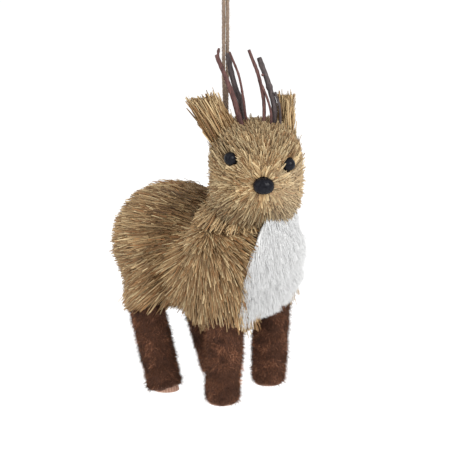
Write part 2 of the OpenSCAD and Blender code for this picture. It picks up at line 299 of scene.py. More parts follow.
def add(tree, kind, links=None, **values):
    """A node with its values set and its inputs linked: links maps an input to a socket."""
    node = tree.nodes.new(kind)
    for key, value in values.items():
        setattr(node, key, value)
    for key, value in (links or {}).items():
        if isinstance(value, bpy.types.NodeSocket):
            tree.links.new(value, node.inputs[key])
        else:
            node.inputs[key].default_value = value
    return node


def noise(tree, scale, detail=4.0, rough=0.55, stretch=(1, 1, 1)):
    """Noise in the object's own metres; stretch lengthens it along an axis."""
    place = add(tree, "ShaderNodeTexCoord")
    scaled = add(tree, "ShaderNodeMapping", {"Vector": place.outputs["Object"], "Scale": stretch})
    return add(tree, "ShaderNodeTexNoise", {
        "Vector": scaled.outputs["Vector"], "Scale": scale, "Detail": detail, "Roughness": rough,
    }).outputs["Fac"]


def ramp(tree, factor, *stops):
    node = add(tree, "ShaderNodeValToRGB", {"Fac": factor})
    while len(node.color_ramp.elements) < len(stops):
        node.color_ramp.elements.new(0.5)
    for element, (place, colour) in zip(node.color_ramp.elements, stops):
        element.position, element.color = place, (*colour, 1)
    return node.outputs["Color"]


def multiply(tree, a, b):
    node = add(tree, "ShaderNodeMix", data_type="RGBA", blend_type="MULTIPLY")
    node.inputs["Factor"].default_value = 1.0
    tree.links.new(a, node.inputs["A"])
    tree.links.new(b, node.inputs["B"])
    return node.outputs["Result"]


def bump(tree, shader, height, distance, strength=1.0):
    node = add(tree, "ShaderNodeBump", {"Height": height, "Distance": distance,
                                        "Strength": strength})
    tree.links.new(node.outputs["Normal"], shader.inputs["Normal"])


def rough_between(tree, shader, factor, low, high):
    node = add(tree, "ShaderNodeMapRange", {"Value": factor, "To Min": low, "To Max": high})
    tree.links.new(node.outputs["Result"], shader.inputs["Roughness"])


def tinted_fibre(name, roughness, specular, sheen, scale, dark, light):
    """A fibre whose colour is its mesh's own tint, mottled by fine noise."""
    mat, tree, shader = material(name, roughness, specular, sheen)
    tint = add(tree, "ShaderNodeAttribute", attribute_name="tint")
    mottle = noise(tree, scale, 3.0)
    grey = ramp(tree, mottle, (0.3, (dark,) * 3), (0.7, (light,) * 3))
    tree.links.new(multiply(tree, tint.outputs["Color"], grey), shader.inputs["Base Color"])
    rough_between(tree, shader, mottle, roughness - 0.1, min(1.0, roughness + 0.12))
    bump(tree, shader, mottle, 0.0001)
    return mat


def mottled(name, scale, stops, roughness=(0.6, 0.85), depth=0.0002, stretch=(1, 1, 1),
            specular=0.3):
    """A solid's own noise colour with matching roughness and bump."""
    mat, tree, shader = material(name, roughness[0], specular)
    grain = noise(tree, scale, 6.0, 0.6, stretch)
    tree.links.new(ramp(tree, grain, *stops), shader.inputs["Base Color"])
    rough_between(tree, shader, grain, *roughness)
    bump(tree, shader, grain, depth)
    return mat


def floor_material():
    return mottled("floor_paint", 6, [(0.3, (0.96, 0.96, 0.96)), (0.7, (0.98, 0.98, 0.98))],
                   (0.85, 0.95), 0.0, specular=0.0)


def bead_material():
    mat, tree, shader = material("bead_gloss", 0.14, 0.1)
    wear = noise(tree, 900, 5.0)
    tree.links.new(ramp(tree, wear, (0.35, (0.004, 0.004, 0.006)), (0.75, (0.014, 0.014, 0.018))),
                   shader.inputs["Base Color"])
    rough_between(tree, shader, wear, 0.06, 0.2)
    bump(tree, shader, wear, 0.00003, 0.4)
    return mat


def wood_end_material():
    """Cut wood: rings round the leg's own upright axis, with a fibrous grain."""
    mat, tree, shader = material("leg_wood", 0.75, 0.25)
    place = add(tree, "ShaderNodeTexCoord")
    rings = add(tree, "ShaderNodeTexWave", {
        "Vector": place.outputs["Object"], "Scale": 260.0, "Distortion": 6.0, "Detail": 3.0,
    }, wave_type="RINGS", rings_direction="Z")
    grain = noise(tree, 1400, 5.0, 0.6, (1, 1, 0.12))
    base = ramp(tree, rings.outputs["Fac"], (0.2, (0.36, 0.2, 0.14)), (0.8, (0.52, 0.33, 0.25)))
    tone = ramp(tree, grain, (0.3, (0.7, 0.66, 0.62)), (0.7, (1, 1, 1)))
    tree.links.new(multiply(tree, base, tone), shader.inputs["Base Color"])
    rough_between(tree, shader, grain, 0.65, 0.9)
    bump(tree, shader, grain, 0.00015)
    return mat


# ---------------------------------------------------------------- the trimmed outlines
def capsule(p, a, b, r, r_end=None):
    """Distance to a rounded rod from a to b, which may swell to r_end."""
    a, b = np.array(a, float), np.array(b, float)
    t = np.clip(((p - a) @ (b - a)) / ((b - a) @ (b - a)), 0, 1)
    around = r if r_end is None else r + (r_end - r) * t
    return np.linalg.norm(p - a - t[:, None] * (b - a), axis=1) - around


def soft_min(a, b, k):
    """The nearer of two distances, with the join rounded over about k."""
    h = np.clip(0.5 + 0.5 * (b - a) / k, 0, 1)
    return b * (1 - h) + a * h - k * h * (1 - h)


def chest_angle(p):
    """The direction of points from the shoulders' axis: 0 is straight ahead, 90 the left side."""
    return np.degrees(np.arctan2(p[:, 0], -(p[:, 1] - SHOULDER_Y)))


def shoulder_distance(p):
    """Upright round shoulders, cut off at the straw's lower edge, which rises on the left."""
    angle = chest_angle(p)
    rise = np.interp(angle, [-70, -30, 0, 40, 62, 80], [0, 2, 6, 8, 4, 0])
    z = p[:, 2] - rise * np.clip((62 - p[:, 2]) / 20, 0, 1)
    wide = np.interp(z, [33, 45, 58, 69, 76, 84], [21.5, 23.4, 24.6, 24.8, 20.0, 10.5])
    round_part = np.hypot(p[:, 0], p[:, 1] - SHOULDER_Y) - wide
    return -soft_min(-round_part, -np.maximum(SKIRT_Z - z, z - 84), 3.0)


def body_distance(p):
    """How far points are outside the trimmed body, in millimetres."""
    rump = capsule(p, (0, 1, 52.2), (0, 25.1, 59.6), 20.9, 25.0)
    body = soft_min(rump, shoulder_distance(p), 3.6)
    for side, low in ((-1, 42.0), (1, 46.5)):
        body = soft_min(body, capsule(p, (side * 15, 23.5, 53), (side * 16.2, 25.4, 40.6), 10.2), 4.0)
        body = soft_min(body, capsule(p, (side * 15, -15, 55), (side * 15.5, -15.6, low), 10.2), 4.0)
    return body


def head_distance(p):
    """The same for the trimmed head: a round box, a little wider at the cheeks."""
    local = to_head(p) + (0.5, 0, 0)
    half = np.where(local[:, 2:] > 0, (*HEAD_HALF[:2], CROWN), HEAD_HALF)
    q = np.abs(local) / half
    power = 2.9
    size = (q ** power).sum(axis=1) ** (1 / power)
    neck = capsule(p, (0, -18.5, 92), (0, -15, 81), 15.8)
    return soft_min((size - 1) * HEAD_HALF[0], neck, 3.0)


def trace(distance, centre, ways):
    """Where rays from centre leave the outline."""
    reach = np.full(len(ways), 2.0)
    for _ in range(70):
        reach = reach - 0.8 * distance(centre + ways * reach[:, None])
    return reach


def outline_normals(distance, p):
    """The outward direction at each point, from how the distance changes around it."""
    step = 0.3
    slope = [distance(p + np.eye(3)[i] * step) - distance(p - np.eye(3)[i] * step)
             for i in range(3)]
    return unit(np.stack(slope, axis=1))


def scatter(distance, centre, count, rng, keep=None):
    """Points spread evenly over an outline, with its normals there."""
    centre = np.array(centre, float)
    points, normals = [], []
    found = 0
    while found < count:
        ways = unit(rng.normal(0, 1, (count * 3, 3)))
        reach = trace(distance, centre, ways)
        p = centre + ways * reach[:, None]
        n = outline_normals(distance, p)
        weight = reach ** 2 / np.maximum(0.15, (n * ways).sum(axis=1))
        ok = rng.random(len(p)) < weight / np.quantile(weight, 0.985)
        if keep is not None:
            ok &= keep(p)
        points.append(p[ok])
        normals.append(n[ok])
        found += int(ok.sum())
    return np.concatenate(points)[:count], np.concatenate(normals)[:count]


def under_surface(name, distance, centre, inset, mat, columns=96, lines=64):
    """A closed dark surface a little inside an outline, seen between the bristles: painted shade deep
    in the coat.
    """
    centre = np.array(centre, float)
    ways = ball_ways(columns, lines)
    p = centre + ways * trace(lambda q: distance(q) + inset, centre, ways)[:, None]
    obj = build_mesh(name, row(p), ring_quads(lines, columns), smooth=True)
    obj.data.materials.append(mat)
    return obj


# ---------------------------------------------------------------- straw
STRAW_TONES = np.array([                   # from the palest straw to the brownest
    (0.60, 0.455, 0.255), (0.46, 0.32, 0.165), (0.36, 0.23, 0.11), (0.28, 0.165, 0.072),
    (0.32, 0.165, 0.066), (0.18, 0.10, 0.045)])

# The lit colour that painted light on the left cheek fades the straw towards.
PAINTED_LIGHT_STRAW = np.array([0.56, 0.45, 0.30])


def straw_tints(count, rng, shares, clump_tone, depth=1.0):
    """Root and tip colours of each straw: a tone of its own, scaled by its clump's tone. The root is
    darker than the cut tip, partly the straw's own colour and partly painted shade deep in the coat.
    """
    pick = rng.choice(len(STRAW_TONES), count, p=np.array(shares) / sum(shares))
    tip = STRAW_TONES[pick] * rng.normal(1.0, 0.1, (count, 1)) * clump_tone[:, None]
    root = tip * np.minimum(1, depth * np.array([0.46, 0.41, 0.35]))
    return root, tip


def clumped(p, count, rng):
    """For each point the index of its clump, from seeds picked among the points."""
    seeds = p[rng.choice(len(p), count, replace=False)]
    index = np.empty(len(p), int)
    for start in range(0, len(p), 2000):
        part = p[start:start + 2000]
        index[start:start + 2000] = ((part[:, None] - seeds[None]) ** 2).sum(-1).argmin(1)
    return index


def cut_at_beads(roots, tips):
    """Trims straws that would run over an eye or the nose: moves their roots or tips away."""
    roots, tips, ok = roots.copy(), tips.copy(), np.ones(len(roots), bool)
    beads = [(from_head(e), EYE_R + 0.35) for e in EYES.values()]
    beads.append((from_head(NOSE), NOSE_HALF[0] - 0.7))
    for centre, r in beads:
        out = unit(centre - HEAD)
        a, d = roots - centre, tips - roots
        flat_a, flat_d = a - (a @ out)[:, None] * out, d - (d @ out)[:, None] * out
        t = np.clip(-(flat_a * flat_d).sum(1) / np.maximum((flat_d ** 2).sum(1), 1e-6), 0, 1)
        beside = np.linalg.norm(flat_a + t[:, None] * flat_d, axis=1) < r
        hit = beside & (((a + t[:, None] * d) @ out) > -1.3 * r)
        step = r / np.maximum(np.linalg.norm(flat_d, axis=1), 0.1)
        late = hit & (t > 0.4)
        tips[late] = (roots + d * np.maximum(t - step, 0.15)[:, None])[late]
        early = hit & ~late
        roots[early] = (roots + d * np.minimum(t + step, 0.8)[:, None])[early]
        ok &= ((tips - roots) * unit(d)).sum(axis=1) > 2.0
    return roots, tips, ok


def combed(p, n, source, lift):
    """The way straws lie at p when they are combed away from source: lift is how steeply."""
    away = unit(p - source)
    out = np.clip((away * n).sum(axis=1, keepdims=True), 0, 1)
    return unit(away - n * out + n * np.maximum(0.16, out * lift))


def straw_coat(name, p, n, source, rng, shares, length, width, lift, clumps, pull, mat,
               stray=0.015, jitter=0.4, fringe=None, ruffle=0.075, shade=1.0, lean=None, depth=1.15,
               pale=0.0, form=None):
    """A coat of bristles trimmed at the points p and combed away from source.

    Straws draw together in clumps by the share pull. They stand up to fringe millimetres past
    the outline, and the share stray of them further. shade scales their colour. A larger depth
    gives lighter roots, with less painted shade deep in the coat; pale fades the colour towards
    painted light; and form (an outline and its centre) keeps the roots inside that outline."""
    way = combed(p, n, source, lift)
    if lean is not None:
        way = unit(way + lean)
    clump = clumped(p, clumps, rng)
    mean = np.zeros((clumps, 3))
    np.add.at(mean, clump, p)
    mean /= np.maximum(1, np.bincount(clump, minlength=clumps))[:, None]
    tone = shade * rng.normal(1.0, 0.09, clumps)[clump]
    count = len(p)
    proud = rng.normal(0, jitter, count)
    proud += (rng.random(count) < stray) * rng.uniform(0.8, 3.0, count)
    if fringe is not None:
        proud += fringe * rng.uniform(0, 1, count)
    way = unit(way + rng.normal(0, ruffle, (count, 3)))
    tips = p + way * proud[:, None] + (mean[clump] - p) * pull
    long = length * rng.uniform(0.8, 1.2, count)
    long = np.minimum(long, 0.92 * np.linalg.norm(p - source, axis=1))
    roots = tips - way * long[:, None]
    if form is not None:
        distance, centre = form
        roots -= unit(roots - centre) * np.maximum(0, distance(roots) + 0.5)[:, None]
    roots, tips, ok = cut_at_beads(roots, tips)
    root_tint, tip_tint = straw_tints(count, rng, shares, tone, depth)
    # Painted light: pale fades the straw towards a lit colour.
    pale = pale * np.ones((count, 1))
    root_tint, tip_tint = (t + pale * (PAINTED_LIGHT_STRAW - t) for t in (root_tint, tip_tint))
    wide = width * rng.uniform(0.6, 1.3, count)
    return fibres(name, roots[ok], tips[ok], n[ok], wide[ok], root_tint[ok], tip_tint[ok], mat,
                  rng)


def body_source(p):
    """The neck binding that the body's straws fan out from, level with each flank."""
    s = np.empty_like(p)
    s[:, 0] = np.clip(0.6 * p[:, 0], -13, 13)
    s[:, 1] = -8.0
    s[:, 2] = 72.0
    return s


def bib_edge(z):
    """How far the fur reaches round each side at a height, in degrees."""
    return np.interp(z, [38, 55, 67, 75, 81], [50, 48, 43.5, 34, 24])


def bib_low(angle):
    """The height that the fur's tips reach down to: further on the deer's right."""
    return np.interp(angle, [-44, -33, -3, 16, 45], [35.8, 39.5, 43.3, 47.5, 51.0])


def in_bib(p, grow=0.0):
    """Which points lie where the fur is; grow widens it by so many degrees a side."""
    angle = chest_angle(p)
    return ((np.abs(angle) < bib_edge(p[:, 2]) + grow) & (p[:, 2] > bib_low(angle) + 1)
            & (p[:, 2] < 82) & (p[:, 1] < SHOULDER_Y))


def near_leg(p, grow):
    """Which points lie inside the felt legs, or within grow of them."""
    hit = np.zeros(len(p), bool)
    for x, y, slant, _, top_r in LEGS.values():
        a = np.array([x, y, 0.0])
        b = a + rotate_x([0, 0, LEG_TOP - 4], slant)
        hit |= capsule(p, a, b, top_r + grow) < 0
    return hit


def make_body_straw(mat, dark):
    """The rump's and the shoulders' straw, none of it behind the fur or across a leg."""
    rng = np.random.default_rng(11)
    shares = (1.5, 2.8, 3.4, 2.6, 1.7, 0.9)

    def keep(p):
        angle = chest_angle(p)
        below = (angle > -30) & (angle < 46) & (p[:, 2] < bib_low(angle) + 3)
        return (head_distance(p) > -1.0) & ~in_bib(p, -4) & ~near_leg(p, 0.3) & ~below

    p, n = scatter(body_distance, BODY, 21000, rng, keep)
    # The shoulders' coat ends at a slanting line that runs back towards the belly.
    front = p[:, 1] < -2 + 0.25 * (57.5 - p[:, 2])
    fringe = np.where(n[:, 2] < -0.2, 3.0, 0.4) * (p[:, 2] < 46)
    for name, node, chosen in (("shoulder_straw", "shoulder_coat", front),
                               ("rump_straw", "rump_coat", ~front)):
        obj = straw_coat(name, p[chosen], n[chosen], body_source(p[chosen]), rng, shares,
                         15.0, 0.72, 0.5, 420, 0.13, mat, fringe=fringe[chosen],
                         ruffle=0.065, shade=0.95)
        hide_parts(node)
        finish(obj, "deer")
    # A dark sheet inside the coat: painted shade between the bristles.
    base = under_surface("body_shade_sheet", body_distance, BODY, 3.4, dark)
    finish(base, "deer")


def ear_lean(local):
    """Near an ear's root the head's straws turn and run up along the ear."""
    lean = np.zeros_like(local)
    for root, tip, reach in ((*EAR_RIGHT, 8.0), (*EAR_LEFT, 5.0)):
        root, tip = np.array(root, float), np.array(tip, float)
        along = unit(tip - root)
        far = capsule(local, root, root + along * 9, 0.0)
        lean += (1.6 * np.exp(-(far / reach) ** 2))[:, None] * along
    c, s = math.cos(HEAD_TURN), math.sin(HEAD_TURN)
    return lean @ np.array([[c, s, 0], [-s, c, 0], [0, 0, 1]])


def painted_face_shade(local):
    """Painted shade on the straw's colour: a little on the forehead, most on the chin."""
    up = np.clip(local[:, 2] / 16, -0.6, 1)
    low = np.clip(-local[:, 2] / 16 - 0.3, 0, 1)
    return 0.80 - 0.11 * up - 0.40 * low


def painted_light_cheek(local):
    """1 on the deer's left cheek, where painted light makes the straw palest, and 0 elsewhere."""
    return (np.clip(local[:, 0] / 12, 0, 1) * np.clip((10 - local[:, 2]) / 6, 0, 1))[:, None]


def clear_of_twine(p):
    """Which points lie outside the way that the twine swings through as the ornament tips."""
    knot = np.array([0.0, TWINE_BACK, KNOT_Z])
    clear = np.ones(len(p), bool)
    for tilt in range(-6, 61, 6):
        clear &= capsule(p, knot, knot + rotate_x([0, 0, 20.0], -tilt), 1.9) > 0
    return clear


def make_head_straw(mat, dark):
    """The head's straw, coarser locks on its face, and a collar where it meets the shoulders."""
    rng = np.random.default_rng(23)
    shares = (3.4, 3.6, 2.6, 1.3, 0.7, 0.5)
    p, n = scatter(head_distance, HEAD, 11500, rng,
                   lambda p: (body_distance(p) > -3.0) & clear_of_twine(p))
    muzzle = from_head([[0, -15.5, -1.5]])[0]
    local = to_head(p)
    fringe = np.where((local[:, 2] < -10) | (local[:, 1] > 4), 1.8, 0.5)
    fringe = fringe + 2.2 * np.linalg.norm(ear_lean(local), axis=1)
    # Close to the nose the straws are trimmed evenly: calm is 0 there and 1 far from it.
    calm = 1 - np.exp(-(p - muzzle) ** 2 @ np.ones(3) / 12.0 ** 2)
    # Painted shade darkens the forehead a little and the chin most; painted light pales the left cheek.
    obj = straw_coat("head_straw", p, n, muzzle, rng, shares, 14.0, 0.9, 0.42, 260, 0.12,
                     mat, fringe=fringe * calm, ruffle=0.10, shade=painted_face_shade(local),
                     lean=ear_lean(local), depth=1.3, stray=0.012 * calm, jitter=0.15 + 0.25 * calm,
                     pale=0.3 * painted_light_cheek(local), form=(head_distance, HEAD))
    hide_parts("head_coat")
    finish(obj, "deer")
    p, n = scatter(head_distance, HEAD, 750, rng,
                   lambda p: (to_head(p)[:, 1] < -1) & (to_head(p)[:, 2] > -12))
    local = to_head(p)
    # The face's locks get the same painted shade and painted light.
    locks = straw_coat("face_straw", p + n * 0.35, n, muzzle, rng, (4, 3, 2, 1, 0.3, 0.4),
                       19.0, 1.45, 0.3, 60, 0.05, mat, stray=0, jitter=0.25, ruffle=0.2,
                       shade=1.08 * painted_face_shade(local), lean=ear_lean(local), depth=1.8,
                       pale=0.25 * painted_light_cheek(local), form=(head_distance, HEAD))
    finish(locks, "deer")
    p, n = scatter(body_distance, BODY, 700, rng, lambda p: (
        (p[:, 2] > 75) & (p[:, 2] < 85) & (np.hypot(p[:, 0], p[:, 1] + 16) < 23)
        & ~in_bib(p, -3) & (head_distance(p) > -0.5)))
    source = np.array([0, -17.0, 90.0])
    collar = straw_coat("collar_straw", p + n * 0.6, n, source, rng, shares, 11.0, 0.8, 0.3, 90,
                        0.1, mat, fringe=np.full(len(p), 1.0), ruffle=0.14, shade=1.08)
    finish(collar, "deer")
    # A dark sheet inside the coat: painted shade between the bristles.
    base = under_surface("head_shade_sheet", head_distance, HEAD, 3.2, dark)
    finish(base, "deer")


def make_ear(side, root, tip, root_half, tip_half, cut, mat, seed):
    """A flat bunch of straws that lie together and are cut off blunt."""
    rng = np.random.default_rng(seed)
    root, tip = np.array(root, float), np.array(tip, float)
    along = unit(tip - root)
    across = unit(np.cross((0, 1, 0), along))
    front = np.cross(along, across)
    long = np.linalg.norm(tip - root)
    count = int(230 * root_half)
    up = 1 - np.abs(rng.normal(0, 0.3, count))
    up = np.where(rng.random(count) < 0.5, rng.uniform(0.9, 1.0, count), np.clip(up, 0.1, 1))
    half = root_half + (tip_half - root_half) * up ** 1.3
    place = rng.uniform(-1, 1, count)
    up = up * (1 - cut * place)
    deep = rng.normal(0, 1.2, count) * np.sqrt(np.maximum(0.1, 1 - place ** 2)) * (1.5 - 0.6 * up)
    tips = (root + along * (long * up + rng.normal(0, 0.4, count))[:, None]
            + across * (place * half)[:, None] + front * deep[:, None])
    length = rng.uniform(9, 14, count)
    splay = along + across * (place * 0.06)[:, None] + rng.normal(0, 0.045, (count, 3))
    roots = tips - unit(splay) * length[:, None]
    stray = rng.random(count) < 0.05
    tips = tips + stray[:, None] * (along * 2.0 + across * np.sign(place)[:, None] * 1.5)
    root_tint, tip_tint = straw_tints(count, rng, (3.4, 3, 2.6, 1.6, 0.7, 1.0),
                                      rng.normal(0.97, 0.08, count))
    facing = np.repeat(front[None], count, axis=0)
    obj = fibres("ear_straw_" + side, from_head(roots), from_head(tips), facing,
                 0.8 * rng.uniform(0.6, 1.3, count), root_tint * 1.8, tip_tint * 0.88, mat, rng)
    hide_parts("ear_" + side)
    finish(obj, "deer")


# ---------------------------------------------------------------- fur, felt and beads
def bib_point(angle, z, out):
    """A point on the chest: angle from straight ahead, height, and how far it stands out."""
    r = np.interp(z, [34, 45, 54, 62, 71, 80], [22.0, 22.4, 22.8, 24.3, 26.2, 23.6]) + out
    return np.stack([r * np.sin(angle), SHOULDER_Y - r * np.cos(angle), z], axis=1)


def make_chest_fur(mat, backing):
    """The white bib: a curved cloth, and fur that hangs down from it in locks."""
    rng = np.random.default_rng(31)
    count = 24000
    z = rng.uniform(40, 86, count)
    edge = np.radians(bib_edge(z))
    angle = rng.uniform(-1, 1, count) * edge
    low = bib_low(np.degrees(angle)) + 7.0
    z = np.maximum(z, low + rng.uniform(0, 4, count))
    roots = bib_point(angle, z, -2.6)
    ok = head_distance(roots) > -5.0
    roots, angle, z = roots[ok], angle[ok], z[ok]
    count = len(roots)
    out = np.stack([np.sin(angle), -np.cos(angle), np.zeros(count)], axis=1)
    sideways = np.stack([np.cos(angle), np.sin(angle), np.zeros(count)], axis=1)
    down = np.array([0.0, 0.0, -1.0])
    way = unit(down + out * rng.uniform(0.25, 0.55, (count, 1))
               + sideways * (0.25 * angle[:, None] + rng.normal(0, 0.12, (count, 1))))
    length = rng.uniform(6.5, 10.5, count)
    tips = roots + way * length[:, None]
    lock = clumped(tips, 190, rng)
    centre = np.zeros((190, 3))
    np.add.at(centre, lock, tips)
    centre /= np.maximum(1, np.bincount(lock, minlength=190))[:, None]
    centre += down * rng.uniform(-1.0, 2.4, (190, 1))
    tips = tips + (centre[lock] - tips) * rng.uniform(0.35, 0.8, (count, 1))
    white = np.array([0.80, 0.80, 0.795]) * rng.uniform(0.95, 1.04, (count, 1))
    width = rng.uniform(0.16, 0.32, count)
    for layer, node in ((slice(0, None, 2), "chest_fur"), (slice(1, None, 2), None)):
        obj = fibres("chest_fur_pile", roots[layer], tips[layer], out[layer], width[layer],
                     white[layer] * 0.97, white[layer], mat, rng, flat=0.7, bend=0.09, point=0.12,
                     smooth=True)
        if node:
            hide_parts(node)
        finish(obj, "deer")
    cloth = make_bib_cloth(30, 40)
    cloth.data.materials.append(backing)
    finish(cloth, "deer")


def make_bib_cloth(lines, columns):
    """The curved cloth under the fur: an outer and an inner face, closed along its edges."""
    spread = np.linspace(-1, 1, columns)
    grid = []
    for out in (-2.4, -4.2):
        for height in np.linspace(51, 80, lines):
            half = np.radians(bib_edge(height) - 1)
            grid.append(bib_point(spread * half, np.full(columns, height), out))
    quads = []
    inner = lines * columns
    for i in range(lines - 1):
        for j in range(columns - 1):
            a, b = i * columns + j, (i + 1) * columns + j
            quads += [(a, a + 1, b + 1, b), (inner + a, inner + b, inner + b + 1, inner + a + 1)]
    for i in range(lines - 1):
        for j in (0, columns - 1):
            a, b = i * columns + j, (i + 1) * columns + j
            quads.append((a, b, b + inner, a + inner) if j == 0 else (b, a, a + inner, b + inner))
    for j in range(columns - 1):
        for i in (0, lines - 1):
            a, b = i * columns + j, i * columns + j + 1
            quads.append((b, a, a + inner, b + inner) if i == 0 else (a, b, b + inner, a + inner))
    return build_mesh("chest_fur_backing", row(np.concatenate(grid)), np.array(quads), smooth=True)


def make_leg(name, x, y, slant, foot_r, top_r, pile, felt, seed):
    """A felt sleeve, lumpy and turned in at the foot, with its short pile."""
    rng = np.random.default_rng(seed)
    inner = 5.7
    segments, lines = 72, 70
    a = np.linspace(0, 2 * math.pi, segments, endpoint=False)
    phase = rng.uniform(0, 6.28, 8)

    def lumps(angle, z):
        return (0.22 * np.sin(2 * angle + phase[0] + z * 0.11) * np.sin(z * 0.21 + phase[1])
                + 0.16 * np.sin(5 * angle + phase[2]) * np.sin(z * 0.47 + phase[3])
                + 0.10 * np.sin(9 * angle + phase[4] + z * 0.9))

    def surface(angle, z):
        r = foot_r + (top_r - foot_r) * z / LEG_TOP + lumps(angle, z)
        r = r - 1.1 * np.exp(-np.maximum(z - 0.7, 0) / 0.8)
        return np.stack([r * np.cos(angle), r * np.sin(angle), z], axis=-1)

    def ragged(angle):
        return 0.75 + 0.3 * np.sin(3 * angle + phase[5]) + 0.2 * np.sin(7 * angle + phase[6])

    def placed(p):
        return rotate_x(p, slant) + (x, y, 0)

    t = np.linspace(0, 1, lines) ** 1.4
    rings = [surface(a, ragged(a) + (LEG_TOP - ragged(a)) * k) for k in t]
    low = np.stack([(inner + 0.05) * np.cos(a), (inner + 0.05) * np.sin(a), ragged(a)], axis=-1)
    high = np.stack([inner * np.cos(a), inner * np.sin(a), np.full(segments, LEG_TOP)], axis=-1)
    inner_low = low + (0, 0, 4.0)
    verts = placed(np.concatenate([inner_low, low] + rings + [high]))
    sleeve = build_mesh("felt_" + name, row(verts), ring_quads(lines + 3, segments), smooth=True)
    sleeve.data.materials.append(felt)
    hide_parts("leg_felt_" + name)
    finish(sleeve, "deer")

    count = 11000
    angle = rng.uniform(0, 2 * math.pi, count)
    z = rng.uniform(1.0, PILE_TOP, count)
    roots = surface(angle, z)
    out = np.stack([np.cos(angle), np.sin(angle), np.zeros(count)], axis=1)
    way = unit(out * rng.uniform(0.35, 1.0, (count, 1)) + (0, 0, -0.55)
               + rng.normal(0, 0.45, (count, 3)))
    tips = roots + way * rng.gamma(5.0, 0.26, (count, 1))
    patch = rng.lognormal(0, 0.42, 110)[clumped(roots, 110, rng)]
    tone = rng.uniform(0.5, 1.35, count) * patch
    tint = np.array([0.16, 0.068, 0.036]) * tone[:, None]
    tint = np.where(rng.random((count, 1)) < 0.10, tint * (2.2, 2.4, 2.6), tint)
    tint = np.where((z < 2.2)[:, None] & (rng.random((count, 1)) < 0.5), (0.36, 0.21, 0.15), tint)
    fuzz = fibres("felt_pile_" + name, placed(roots - out * 0.15), placed(tips), rotate_x(out, slant),
                  rng.uniform(0.14, 0.32, count), tint * 0.35, tint, pile, rng, flat=0.8, bend=0.2,
                  point=0.2, rings=2, smooth=True)
    finish(fuzz, "deer")


def round_bead(name, centre, half, mat, power=2.15, columns=48, lines=32):
    """A glossy bead, a little squarer than a ball."""
    ways = ball_ways(columns, lines)
    size = (np.abs(ways) ** power).sum(axis=1, keepdims=True) ** (-1 / power)
    verts = from_head(ways * size * half + centre)
    obj = build_mesh(name, row(verts), ring_quads(lines, columns), smooth=True)
    obj.data.materials.append(mat)
    return obj


def make_beads(mat):
    """Two round eyes and a wider nose."""
    for side, place in EYES.items():
        eye = round_bead("eye_bead_" + side, place, np.array([EYE_R, EYE_R, EYE_R]), mat)
        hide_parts("eye_" + side)
        finish(eye, "deer")
    nose = round_bead("nose_bead", NOSE, NOSE_HALF, mat, 2.3)
    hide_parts("nose")
    finish(nose, "deer")


# ---------------------------------------------------------------- twigs
RIGHT_MAIN = [[-3.6, -1.6, 7], [-8.6, 0.6, 25.9], [-10.7, 1.5, 33.2], [-13.5, 2.5, 40.6],
              [-16.5, 6, 48.4]]
RIGHT_FORK = [[-15.6, 5, 46.2], [-15.7, 6.4, 48.6], [-15.2, 7.5, 50.7]]
RIGHT_BACK = [[-3.5, 5, 7], [-6.3, 4.8, 27], [-8.4, 4.8, 33.5], [-10.3, 5, 40.3],
              [-11.7, 5.2, 49]]
RIGHT_THIN = [[-2, 1.5, 7], [-4.9, 1, 23.2], [-5.8, 1.5, 30.5], [-7.7, 2, 40.4],
              [-11.5, 2, 50.4]]
LEFT_THIN = [[1.2, 0, 7], [2.9, 1, 24.7], [1.3, 4, 37.7], [-2.8, 7, 49.8]]
LEFT_BRANCH = [[4, -2.5, 7], [5.4, -1.2, 24.5], [1.4, 3.8, 37.6]]
LEFT_MAIN = [[6.4, 1.5, 7], [7.1, 1, 25.2], [6, 3, 32.1], [3.9, 5, 39.2], [1.6, 8, 46]]
LEFT_SIDE = [[8.8, -1, 7], [9.4, -0.6, 24.3], [7.4, 0.8, 33]]
THICK, SLIM, FINE = 1.25, 0.8, 0.55


def bark_material(name, deep, mid, pale):
    """Bark with lengthwise cracks and small pale marks."""
    mat, tree, shader = material(name, 0.6, 0.35)
    cracks = noise(tree, 900, 6.0, 0.65, (1, 1, 0.18))
    marks = noise(tree, 1500, 2.0)
    base = ramp(tree, cracks, (0.3, deep), (0.52, mid), (0.8, pale))
    spots = ramp(tree, marks, (0.55, (0.8, 0.8, 0.8)), (0.75, (1.35, 1.3, 1.25)))
    tree.links.new(multiply(tree, base, spots), shader.inputs["Base Color"])
    rough_between(tree, shader, cracks, 0.45, 0.8)
    bump(tree, shader, cracks, 0.0003)
    return mat


def twig_parts(points, r, tip, rng):
    """One stem's points and faces: nodes that swell, ridges, and a flat cut at its tip."""
    path = smooth_path(points, 26)
    s = np.linspace(0, 1, len(path))
    radii = r * (1.03 + (tip - 1.03) * s)
    long = np.linalg.norm(np.diff(path, axis=0), axis=1).sum()
    for spot in rng.uniform(0.5, 0.95, 3):
        radii = radii * (1 + 0.16 * np.exp(-((s - spot) * long / (0.9 * r)) ** 2))
    radii[-1] *= 0.93
    phase = rng.uniform(0, 6.28, 4)

    def ridges(a, along):
        return (1 + 0.045 * np.sin(3 * a + phase[0] + along * 0.5)
                + 0.03 * np.sin(7 * a + phase[1] + along * 0.9)
                + 0.03 * np.sin(along * 2.1 + phase[2]) * np.sin(2 * a + phase[3]))

    return swept(path, radii, 20, ridges)


def join_parts(parts):
    """Several meshes' points and faces as one."""
    verts, quads, tris, start = [], [], [], 0
    for v, q, t in parts:
        verts.append(v)
        quads.append(q + start)
        tris.append(t + start)
        start += len(v)
    return np.concatenate(verts), np.concatenate(quads), np.concatenate(tris)


def bud(place, way, size):
    """A small pointed bud that sits on a stem."""
    steps = np.linspace(0, 1, 9)[:, None]
    path = np.array(place) + unit(np.array(way, float)) * steps * size * 2.2
    radii = size * np.array([0.55, 0.85, 1.0, 0.98, 0.85, 0.65, 0.42, 0.2, 0.05])
    return swept(path, radii, 12)


